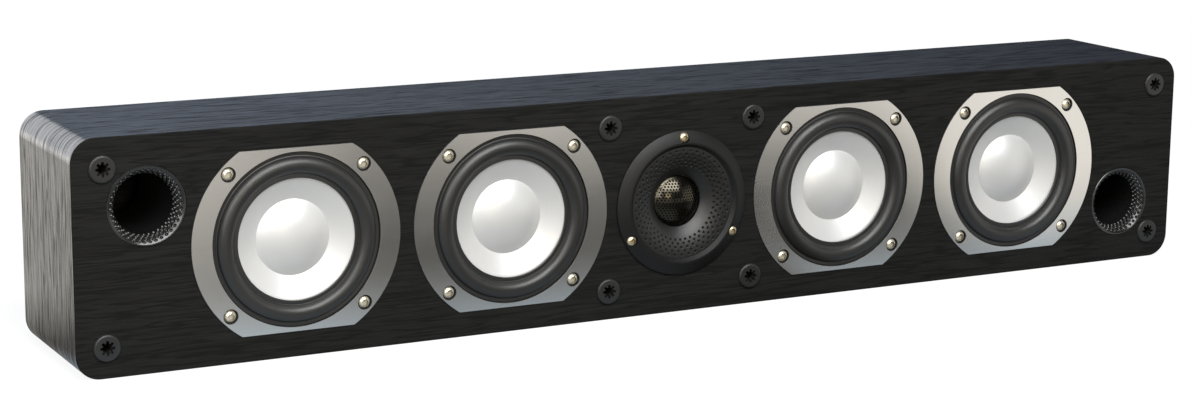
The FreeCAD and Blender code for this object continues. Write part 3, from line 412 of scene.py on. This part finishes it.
def cut_edges(tree, place, normal):
    """Faces that don't look to the front or the back, the plate's cut rims and holes, for painted shade."""
    forward = node(tree, "ShaderNodeSeparateXYZ", {0: normal}).outputs[1]
    return maths(tree, "LESS_THAN", maths(tree, "ABSOLUTE", forward), 0.95)


def socket_wall_shade(top):
    """Painted shade on a screw's socket walls: upright faces less than SOCKET_DEPTH behind the head's top."""

    def painted_shade(tree, place, normal):
        forward = node(tree, "ShaderNodeSeparateXYZ", {0: normal}).outputs[1]
        upright = maths(tree, "LESS_THAN", maths(tree, "ABSOLUTE", forward), 0.1)
        depth = node(tree, "ShaderNodeSeparateXYZ", {0: place}).outputs[1]
        return maths(tree, "MULTIPLY", upright, maths(tree, "LESS_THAN", depth, top + SOCKET_DEPTH * MM))

    return painted_shade


# The plates' cut rims and hole walls get painted shade through cut_edges
# Colour, roughness, stretch of the drawn lines, and their depth in metres
finishes["brushed_trim"] = drawn_metal(
    "brushed_trim", (0.9, 0.893, 0.872), 0.18, (60, 60, 5200), 0.0000015, cut_edges
)
brass = ((0.92, 0.85, 0.67), 0.26, (900, 900, 900), 0.00001)
# Painted shade on the socket walls of both kinds of screw
walls = [socket_wall_shade(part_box(name)[0].y) for name in ("woofer_screws", "tweeter_screws")]
finishes["screw_brass"] = drawn_metal("screw_brass", *brass, walls[0], 0.65)
# The tweeter's screws are a warmer copy of the brass: their gold is a painted reflection
small_brass = drawn_metal("screw_brass_small", (0.84, 0.7, 0.46), *brass[1:], walls[1], 0.8)
finishes["guard_mesh"] = drawn_metal("guard_steel", (0.085, 0.077, 0.058), 0.12, (1500, 1500, 1500), 0.00001)
finishes["motor_steel"] = drawn_metal("motor_zinc", (0.5, 0.5, 0.5), 0.4, (700, 90, 700), 0.00002)
finishes["zinc_plate"] = drawn_metal("zinc_plate", (0.62, 0.62, 0.6), 0.38, (60, 900, 2400), 0.00002)
finishes["post_gold"] = drawn_metal("post_gold", (0.9, 0.68, 0.32), 0.16, (900, 900, 900), 0.000008)
finishes["coil_former"] = drawn_metal("coil_former", (0.62, 0.42, 0.24), 0.35, (400, 4000, 400), 0.00002)
finishes["copper_wire"] = drawn_metal("copper_wire", (0.66, 0.33, 0.17), 0.3, (300, 5000, 300), 0.00003)

cone_sockets = {"Metallic": 0.32, "Coat_Weight": 0.45, "Coat_Roughness": 0.3}
finishes["cone_metal"] = moulded(
    "pearl_cone", (0.69, 0.692, 0.685), 0.42, 1400.0, 0.06, 0.000012, **cone_sockets
)
print("metals done:", len(finishes))

# %% [markdown]
# ## Plastics, rubber and the rest
#
# Moulded plastic is black with a fine pebble; the horn is satin, the ports glossy. Rubber is a little
# greyer and more uneven. Pieces inside the cabinet get finishes too, because the part may be opened up
# later.

# %% Moulded finishes
# Colour, roughness, scale of the pebble, amount of unevenness, and relief in metres
plain = {
    "surround_rubber": ((0.014, 0.014, 0.0132), 0.4, 1600.0, 0.35, 0.00003),
    "dome_cloth": ((0.006, 0.006, 0.006), 0.8, 2600.0, 0.4, 0.00004),
    "horn_black": ((0.006, 0.006, 0.0061), 0.48, 2200.0, 0.3, 0.00002),
    "port_black": ((0.01, 0.01, 0.01), 0.2, 500.0, 0.3, 0.00001),
    "socket_black": ((0.017, 0.017, 0.017), 0.4, 1800.0, 0.3, 0.00003),
    "basket_paint": ((0.015, 0.015, 0.015), 0.45, 1500.0, 0.3, 0.00005),
    "ferrite": ((0.045, 0.045, 0.047), 0.7, 1200.0, 0.4, 0.00006),
    "screw_black": ((0.014, 0.014, 0.014), 0.35, 1400.0, 0.3, 0.00002),
    "cap_red": ((0.42, 0.012, 0.012), 0.22, 700.0, 0.12, 0.00001),
    "cap_black": ((0.01, 0.01, 0.01), 0.22, 700.0, 0.2, 0.00001),
    "spider_cloth": ((0.36, 0.24, 0.09), 0.85, 2600.0, 0.5, 0.0001),
    "raw_board": ((0.36, 0.24, 0.13), 0.85, 1500.0, 0.35, 0.00008),
    "circuit_board": ((0.06, 0.12, 0.05), 0.4, 900.0, 0.2, 0.00002),
    "capacitor_film": ((0.5, 0.36, 0.06), 0.35, 700.0, 0.15, 0.00002),
    "resistor_ceramic": ((0.6, 0.57, 0.5), 0.75, 1800.0, 0.2, 0.00005),
}
shine = {
    "surround_rubber": {"Specular_IOR_Level": 0.7},
    "horn_black": {"Specular_IOR_Level": 0.34},
    "port_black": {"Specular_IOR_Level": 0.8},
    "screw_black": {"Metallic": 0.4},
}
for slot, numbers in plain.items():
    finishes[slot] = moulded(slot, *numbers, **shine.get(slot, {}))

for entry in frame["record"]["subparts"]:
    solid = nodes[entry["node"]].data
    solid.materials.clear()
    solid.materials.append(finishes[entry["material_slot"]])
nodes["tweeter_screws"].data.materials[0] = small_brass
nodes["tweeter_suspension"].data.materials[0] = finishes["dome_cloth"]

# %% [markdown]
# ## Pieces that stand for solids
#
# The pieces that follow are made anew. Most get a finish, ride on the body of the solid that they stand
# for, and take that solid's place.


# %% Riding helper
def dress(piece, slot, body, node_name, finish=None):
    """Gives a new piece its finish, its body and the solid that it stands for."""
    piece.data.materials.append(finish or finishes[slot])
    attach(piece, body)
    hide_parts(node_name)


print("dress:", dress.__doc__)

# %% [markdown]
# ## Woofer cones and dust caps
#
# A cone is a thin shell, flat at its rim where the rubber is glued and straight down to the voice coil.
# The dust cap is a shallow dome that sits on the cone a third of the way up. Both are turned finely, so
# that the studio light slides over them without facets.

# %% Cones and caps
WOOFER_STEPS = 160
CONE_FRONT = 1.3
CONE_RIM, CONE_EDGE, NECK = 33.6, 31.2, 13.2
CONE_DEPTH, CONE_SKIN = 8.75, 0.8
SLOPE = CONE_DEPTH / (CONE_EDGE - NECK)
CAP_RADIUS, CAP_RISE, CAP_SKIN = 19.7, 6.6, 0.7
CAP_SEAM = CONE_FRONT + (CONE_EDGE - CAP_RADIUS) * SLOPE - 0.1

cone_profile = np.r_[
    fill(run((NECK, CONE_FRONT + CONE_DEPTH), (CONE_EDGE, CONE_FRONT), (CONE_RIM, CONE_FRONT)), 1.2),
    fill(
        run(
            (CONE_RIM, CONE_FRONT + CONE_SKIN),
            (CONE_EDGE, CONE_FRONT + CONE_SKIN),
            (NECK, CONE_FRONT + CONE_DEPTH + CONE_SKIN),
        ),
        2.0,
    ),
]
cap_profile = np.r_[
    bow((0, CAP_SEAM - CAP_RISE), (CAP_RADIUS - 0.35, CAP_SEAM - 0.25), -1.58, 36),
    run((CAP_RADIUS, CAP_SEAM), (CAP_RADIUS - CAP_SKIN, CAP_SEAM + CAP_SKIN * SLOPE)),
    run((0, CAP_SEAM - CAP_RISE + 1.4)),
]
for k in (1, 2, 3, 4):
    middle = centre_of("woofer_%d_trim" % k)
    cone = turn("cone_%d" % k, cone_profile, middle, WOOFER_STEPS)
    dress(cone, "cone_metal", "woofer_%d_moving" % k, "woofer_%d_cone" % k)
    cap = turn("dust_cap_%d" % k, cap_profile, middle, WOOFER_STEPS)
    dress(cap, "cone_metal", "woofer_%d_moving" % k, "woofer_%d_dust_cap" % k)
print("cone faces:", len(cone.data.polygons), "cap faces:", len(cap.data.polygons))

# %% [markdown]
# ## Rubber surrounds
#
# The half roll joins the moving cone to the fixed rim. It is one ring of rubber, so it can't ride on
# either, and here it rides on no body. A share is worked out for each point by radius, falling from one
# at the inner lip to nothing at the rim, but nothing makes the ring follow the cone by it.

# %% Surrounds
LAND = 0.4
LIP, RIM = 31.4, 44.5
ROLL_IN, ROLL_OUT, ROLL_RISE, RUBBER = 33.8, 42.6, 3.4, 0.8
surround_profile = np.r_[
    run((LIP, LAND + 0.25), (31.7, LAND)),
    run((33.2, LAND), (33.5, LAND + 0.12)),
    bow((ROLL_IN, LAND), (ROLL_OUT, LAND), -ROLL_RISE, 40),
    run((43.0, LAND + 0.15), (43.4, LAND)),
    run((RIM, LAND), (RIM, LAND + RUBBER)),
    bow((ROLL_OUT - RUBBER, LAND + RUBBER), (ROLL_IN + RUBBER, LAND + RUBBER), ROLL_RISE, 24),
    run((LIP, LAND + RUBBER)),
]
for k in (1, 2, 3, 4):
    middle = centre_of("woofer_%d_trim" % k)
    ring = turn("surround_%d" % k, surround_profile, middle, WOOFER_STEPS)
    ring.data.materials.append(finishes["surround_rubber"])
    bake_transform(ring)
    spots = np.empty(len(ring.data.vertices) * 3, np.float32)
    ring.data.vertices.foreach_get("co", spots)
    reach = np.hypot(spots[0::3] - middle[0], spots[2::3] - middle[1]) / MM
    share = np.clip((ROLL_OUT - reach) / (ROLL_OUT - ROLL_IN), 0, 1)
    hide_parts("woofer_%d_surround" % k)

# %% [markdown]
# ## Dimpled ports
#
# Small hollows round a port's flare keep the air from tearing off the wall. They are real hollows here:
# a dense grid on the flare, pushed back by a paraboloid in each cell of a staggered pattern.

# %% Ports
PORT_LENGTH = 58.0
PORT_BORE, PORT_WALL, PORT_MOUTH, PORT_FLANGE = 15.2, 18.4, 19.4, 20.2
HOLLOWS_AROUND = 38
PORT_STEPS = HOLLOWS_AROUND * 12
flare = fill(bow((PORT_BORE, 6.5), (PORT_MOUTH, -0.3), -1.134, 60), 0.2)
tube = fill(run((PORT_BORE, PORT_LENGTH), (PORT_BORE, 6.8)), 6.0)
port_profile = np.r_[
    tube,
    flare,
    run((19.9, -0.3), (PORT_FLANGE, 0.0), (PORT_FLANGE, 2.0), (PORT_WALL, 2.0)),
    run((PORT_WALL, PORT_LENGTH)),
]
first, last = len(tube) + 1, len(tube) + len(flare) - 5
hollows = dimples(port_profile, first, last, rows=4, around=HOLLOWS_AROUND, size=0.85, depth=1.0)
for side in ("left", "right"):
    middle = centre_of("port_" + side)
    port = turn("bass_port_" + side, port_profile, middle, PORT_STEPS, hollows)
    dress(port, "port_black", "cabinet", "port_" + side)
print("port faces:", len(port.data.polygons))

# %% [markdown]
# ## The tweeter's horn
#
# The horn flares from a steep throat to a nearly flat mouth, and small round pits in staggered rings cover
# its outer half. It is turned with the same relief as the ports, with smaller and deeper hollows. The
# mesh keeps the depth of each point as an attribute, so that the finish can leave the pits matt, and
# dark with painted shade.

# %% Horn
THROAT, MOUTH = (14.3, 4.6), (30.6, -1.9)
PITS_FROM, PITS_TO = 19.6, 29.7
PITS_AROUND, PIT_DEPTH = 42, 1.1
HORN_STEPS = PITS_AROUND * 11
horn_face = fill(bow(THROAT, MOUTH, -1.825, 90), 0.15)
horn_profile = np.r_[horn_face, run((MOUTH[0], 3.0), (16.8, 7.2), (THROAT[0], 7.2))]
pit_first = int(np.argmax(horn_face[:, 0] > PITS_FROM))
pit_last = int(np.argmax(horn_face[:, 0] > PITS_TO))
pits = dimples(horn_profile, pit_first, pit_last, rows=5, around=PITS_AROUND, size=0.68, depth=PIT_DEPTH)
horn = turn("horn", horn_profile, centre_of("tweeter_ring"), HORN_STEPS, pits)
share = pits(np.linspace(0, 2 * np.pi, HORN_STEPS, endpoint=False)[:, None]) / PIT_DEPTH
in_pits = horn.data.attributes.new("pit_share", "FLOAT", "POINT")
in_pits.data.foreach_set("value", share.astype(np.float32).ravel())

satin = moulded(
    "horn_satin", (0.005, 0.005, 0.0051), 0.44, 2200.0, 0.3, 0.00002, Specular_IOR_Level=0.75
)
tree = satin.node_tree
shader = tree.nodes["Principled BSDF"].inputs
pit = node(tree, "ShaderNodeAttribute", attribute_name="pit_share").outputs["Fac"]
pit = ranged(tree, pit, 0.0, 0.06)
smooth_colour = shader["Base Color"].links[0].from_socket
smooth_rough = shader["Roughness"].links[0].from_socket
# Painted shade: the pits' colour falls to near black
tree.links.new(mixed(tree, pit, smooth_colour, (0.001, 0.001, 0.001, 1)), shader["Base Color"])
tree.links.new(maths(tree, "MAXIMUM", smooth_rough, pit), shader["Roughness"])
dress(horn, "horn_black", "cabinet", "tweeter_horn", satin)
print("horn faces:", len(horn.data.polygons))

# %% [markdown]
# ## The tweeter's guard
#
# A dome of punched steel protects the small diaphragm. Holes lie on a hexagon grid. Each cell is a ring of
# quads between a hexagon and a round hole, and the flat sheet of cells is lifted onto the dome, where the
# depth follows the sphere: crest + R - sqrt(R^2 - r^2). The punched rims are marked sharp before the sheet
# gets its thickness, so that it mirrors as one dome.

# %% Guard
GUARD_RADIUS, GUARD_BASE, GUARD_RISE = 14.0, 5.2, 6.1
GUARD_CURVE = (GUARD_RADIUS**2 + GUARD_RISE**2) / (2 * GUARD_RISE)
PITCH, HOLE, THICKNESS = 1.65, 0.56, 0.25
SKIRT_IN, SKIRT_BACK, SKIRT_WALL = 12.9, 7.15, 0.6
CELL_SPAN, CORNERS, SKIRT_STEPS = 17, 12, 96


def on_dome(flat):
    """Flat (x, z) in millimetres lifted to (x, y, z) on the guard's sphere."""
    squared = np.minimum((flat**2).sum(-1), GUARD_RADIUS**2)
    depth = GUARD_BASE - GUARD_RISE + GUARD_CURVE - np.sqrt(GUARD_CURVE**2 - squared)
    return np.stack([flat[..., 0], depth, flat[..., 1]], -1)


middle = centre_of("tweeter_mesh")
span = np.arange(-CELL_SPAN, CELL_SPAN + 1)
u, v = np.meshgrid(span, span)
cells = np.stack([PITCH * (u + v / 2.0), PITCH * v * math.sqrt(3) / 2], -1).reshape(-1, 2)
cells = cells[np.hypot(cells[:, 0], cells[:, 1]) < GUARD_RADIUS - 0.9]
corner = np.arange(CORNERS)
spokes = np.radians(corner * 360.0 / CORNERS)
edge = PITCH / 2 / np.where(corner % 2 == 0, 1.0, math.cos(math.radians(30)))
circle = np.stack([np.cos(spokes), np.sin(spokes)], -1)
outer = cells[:, None] + circle * edge[:, None]
inner = cells[:, None] + circle * HOLE
sheet = np.concatenate([outer, inner], 1)
reach = np.hypot(sheet[..., 0], sheet[..., 1])[..., None]
sheet = sheet * np.minimum(1, (GUARD_RADIUS - 0.05) / np.maximum(reach, 1e-6))
following = (corner + 1) % CORNERS
quads = np.stack([corner, following, CORNERS + following, CORNERS + corner], -1)
quads = (np.arange(len(cells))[:, None, None] * 2 * CORNERS + quads).reshape(-1, 4)
raised = on_dome(sheet) * MM + np.array([middle[0], FACE, middle[1]])
guard = finish_mesh("tweeter_guard", raised, quads)
corner_edges = np.empty(len(guard.data.loops), np.int32)
guard.data.loops.foreach_get("edge_index", corner_edges)
rims = np.bincount(corner_edges, minlength=len(guard.data.edges)) == 1
guard.data.edges.foreach_set("use_edge_sharp", rims)
thick = guard.modifiers.new("sheet", "SOLIDIFY")
thick.thickness = THICKNESS * MM
thick.offset = -1
dress(guard, "guard_mesh", "cabinet", "tweeter_mesh")

skirt_profile = np.r_[
    run((SKIRT_IN, 4.3), (GUARD_RADIUS, GUARD_BASE), (GUARD_RADIUS, SKIRT_BACK)),
    run((GUARD_RADIUS - SKIRT_WALL, SKIRT_BACK), (GUARD_RADIUS - SKIRT_WALL, GUARD_BASE + 0.3)),
    run((SKIRT_IN, 4.8)),
]
skirt = turn("guard_skirt", skirt_profile, middle, SKIRT_STEPS)
skirt.data.materials.append(finishes["guard_mesh"])
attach(skirt, "cabinet")
print("guard cells:", len(cells), "faces:", len(guard.data.polygons))

# %% [markdown]
# ## Studio
#
# A long lens looks from the left and a little above. Its place, turn and focal length were solved from
# the outlines of the cabinet and the drivers.

# %% Camera
eye = bpy.data.objects.new("camera", bpy.data.cameras.new("camera"))
eye.data.sensor_width = 36.0
eye.data.lens = 79.418
eye.data.clip_end = 100
eye.location = (-0.68957, -1.25458, 0.343356)
eye.rotation_euler = [math.radians(angle) for angle in (78.3976, -0.54096, -27.67148)]
bpy.context.scene.collection.objects.link(eye)
bpy.context.scene.camera = eye
print("lens:", round(eye.data.lens, 3), "mm at", tuple(round(c, 3) for c in eye.location))

# %% [markdown]
# ## White paper, and the floor that mirrors see
#
# The speaker stands on white paper. Bare metal shows what lies in front of it, and white all round would
# make the plates flat, so mirrors see another floor: dark in the middle, paler at the left and far off,
# with a white card at the right that lights the last plates. It is cool close to the cabinet, but not in
# front of the tweeter, whose horn stays black.

# %% Floor
floor_mesh = bpy.data.meshes.new("floor")
floor_mesh.from_pydata([(-30, -30, 0), (30, -30, 0), (30, 40, 0), (-30, 40, 0)], [], [(0, 1, 2, 3)])
floor = bpy.data.objects.new("floor", floor_mesh)
bpy.context.scene.collection.objects.link(floor)
floor.location.z = -0.0002
paper = bpy.data.materials.new("white_paper")
paper.use_nodes = True
tree = paper.node_tree
tree.nodes.remove(tree.nodes["Principled BSDF"])
matt = node(tree, "ShaderNodeBsdfDiffuse", {"Color": (0.2, 0.2, 0.2, 1)})
place = node(tree, "ShaderNodeTexCoord").outputs["Object"]
away = node(tree, "ShaderNodeVectorMath", {0: place}, operation="LENGTH").outputs["Value"]
path = node(tree, "ShaderNodeLightPath").outputs
seen = maths(tree, "MAXIMUM", path["Is Camera Ray"], path["Is Transmission Ray"])
white = maths(tree, "MULTIPLY", seen, ranged(tree, away, 0.4, 2.0, 0.88, 1.0))
paper_glow = node(tree, "ShaderNodeEmission", {"Strength": white})
lit_paper = node(tree, "ShaderNodeAddShader", {0: matt.outputs[0], 1: paper_glow.outputs[0]})
spot = node(tree, "ShaderNodeSeparateXYZ", {0: place}).outputs
# What mirrors see: dim before the cabinet, brighter at the left
ahead = ranged(tree, spot[1], -0.6, -0.25, 0.3, 0.1)
slant = maths(tree, "MULTIPLY_ADD", spot[1], 0.35, spot[0])
ahead = maths(tree, "MULTIPLY", ahead, ranged(tree, slant, -0.28, -0.16, 2.6, 0.52))
# Paler far off, for the tops of the plates
far = maths(tree, "MULTIPLY", ranged(tree, spot[1], -0.4, -0.7), ranged(tree, slant, -0.14, -0.08))
ahead = maths(tree, "MULTIPLY_ADD", far, 0.72, ahead)
# A white card at the right, dimmer where it comes close
card_left = ranged(tree, maths(tree, "MULTIPLY_ADD", spot[1], 0.5, spot[0]), 0.165, 0.215)
card_right = ranged(tree, spot[0], 1.3, 1.0)
card_front = maths(
    tree, "MULTIPLY", ranged(tree, spot[1], 0.0, -0.06), ranged(tree, spot[1], -0.3, -0.08, 1.0, 0.5)
)
right_card = maths(tree, "MULTIPLY", maths(tree, "MULTIPLY", card_left, card_right), card_front)
# White behind the cabinet
behind = ranged(tree, spot[1], 0.0, 0.15)
# A cool strip along the cabinet, left out where the horn would show it
near = maths(tree, "MULTIPLY", ranged(tree, spot[1], -0.2, -0.08), ranged(tree, spot[1], 0.02, -0.02))
beside_horn = maths(tree, "ABSOLUTE", maths(tree, "SUBTRACT", spot[0], 0.06))
near = maths(tree, "MULTIPLY", near, ranged(tree, beside_horn, 0.03, 0.06))
ahead = maths(tree, "MULTIPLY_ADD", near, 0.4, ahead)
mirrored = maths(tree, "MAXIMUM", maths(tree, "MAXIMUM", ahead, right_card), behind)
cool = mixed(tree, near, (1, 0.96, 0.89, 1), (0.77, 0.9, 1, 1))
mirror_glow = node(tree, "ShaderNodeEmission", {"Color": cool, "Strength": mirrored})
glossy = path["Is Glossy Ray"]
both = node(tree, "ShaderNodeMixShader", {0: glossy, 1: lit_paper.outputs[0], 2: mirror_glow.outputs[0]})
tree.links.new(both.outputs[0], tree.nodes["Material Output"].inputs["Surface"])
floor_mesh.materials.append(paper)
print("floor:", paper.name, "with", len(tree.nodes), "nodes")

# %% [markdown]
# ## Room and lamps
#
# The camera sees only white round the speaker. For all else the room is blue-grey behind the speaker and
# nearly black before it. A broad soft lamp above the front puts the highlight at the top of each cap. A
# small lamp near the left lifts the black front, a smaller warm one puts a glint on the tweeter's guard,
# and a panel behind the left end skims its grain.

# %% World
world = bpy.data.worlds.new("studio")
bpy.context.scene.world = world
world.use_nodes = True
tree = world.node_tree
room = tree.nodes["Background"]
sky = node(tree, "ShaderNodeTexCoord").outputs["Generated"]
facing = node(tree, "ShaderNodeSeparateXYZ", {0: sky}).outputs
# Blue-grey behind the speaker, darker towards the right
depth = ranged(tree, facing[1], -0.3, 0.5)
blue_grey, dusk = (0.255, 0.295, 0.37, 1), (0.055, 0.065, 0.086, 1)
back_wall = mixed(tree, ranged(tree, facing[0], 0.25, 0.62), blue_grey, dusk)
# Nearly black before it, with a pale wall at the right that only mirrors see
path = node(tree, "ShaderNodeLightPath").outputs
to_right = maths(tree, "MULTIPLY", ranged(tree, facing[0], 0.5, 0.62), ranged(tree, facing[2], 0.5, 0.25))
right_wall = maths(tree, "MULTIPLY", to_right, path["Is Glossy Ray"])
front_wall = mixed(tree, right_wall, (0.035, 0.037, 0.04, 1), (0.85, 0.83, 0.79, 1))
tree.links.new(mixed(tree, depth, front_wall, back_wall), room.inputs["Color"])
# White for the camera
paper_wall = node(tree, "ShaderNodeBackground", {"Color": (1, 1, 1, 1), "Strength": 1.0})
seen = maths(tree, "MAXIMUM", path["Is Camera Ray"], path["Is Transmission Ray"])
shown = node(tree, "ShaderNodeMixShader", {0: seen, 1: room.outputs[0], 2: paper_wall.outputs[0]})
tree.links.new(shown.outputs[0], tree.nodes["World Output"].inputs["Surface"])
print("world:", world.name, "with", len(tree.nodes), "nodes")


# %% Lamps
def soft_lamp(name, place, target, size, power, colour=(1, 1, 1)):
    """A rectangle of light at a place, turned towards a target, that the camera doesn't see."""
    lamp = bpy.data.objects.new(name, bpy.data.lights.new(name, "AREA"))
    lamp.data.shape = "RECTANGLE"
    lamp.data.size, lamp.data.size_y = size
    lamp.data.energy = power
    lamp.data.color = colour
    lamp.visible_camera = False
    lamp.location = place
    aim = np.array(target) - np.array(place)
    lamp.rotation_euler = (
        math.atan2(math.hypot(aim[0], aim[1]), -aim[2]),
        0,
        math.atan2(aim[1], aim[0]) - math.pi / 2,
    )
    bpy.context.scene.collection.objects.link(lamp)


soft_lamp("key", (-0.1, -1.08, 1.17), (0.05, 0, 0.06), (1.5, 0.9), 30.4)
soft_lamp("front_fill", (-0.8, -0.6, 0.4), (-0.25, 0, 0.06), (0.5, 0.5), 3.2)
soft_lamp("glint", (-0.36, -1.12, 0.33), (0.02, 0, 0.06), (0.32, 0.26), 1.3, (1, 0.87, 0.63))
soft_lamp("end_panel", (-0.62, 0.8, 0.24), (-0.34, 0, 0.06), (0.8, 0.5), 1.8)
bpy.context.scene.view_settings.view_transform = "Standard"
print("lamps:", [lamp.name for lamp in bpy.data.lights])

# %% [markdown]
# ## Sizes
#
# The dressed model must keep the size of the solids.
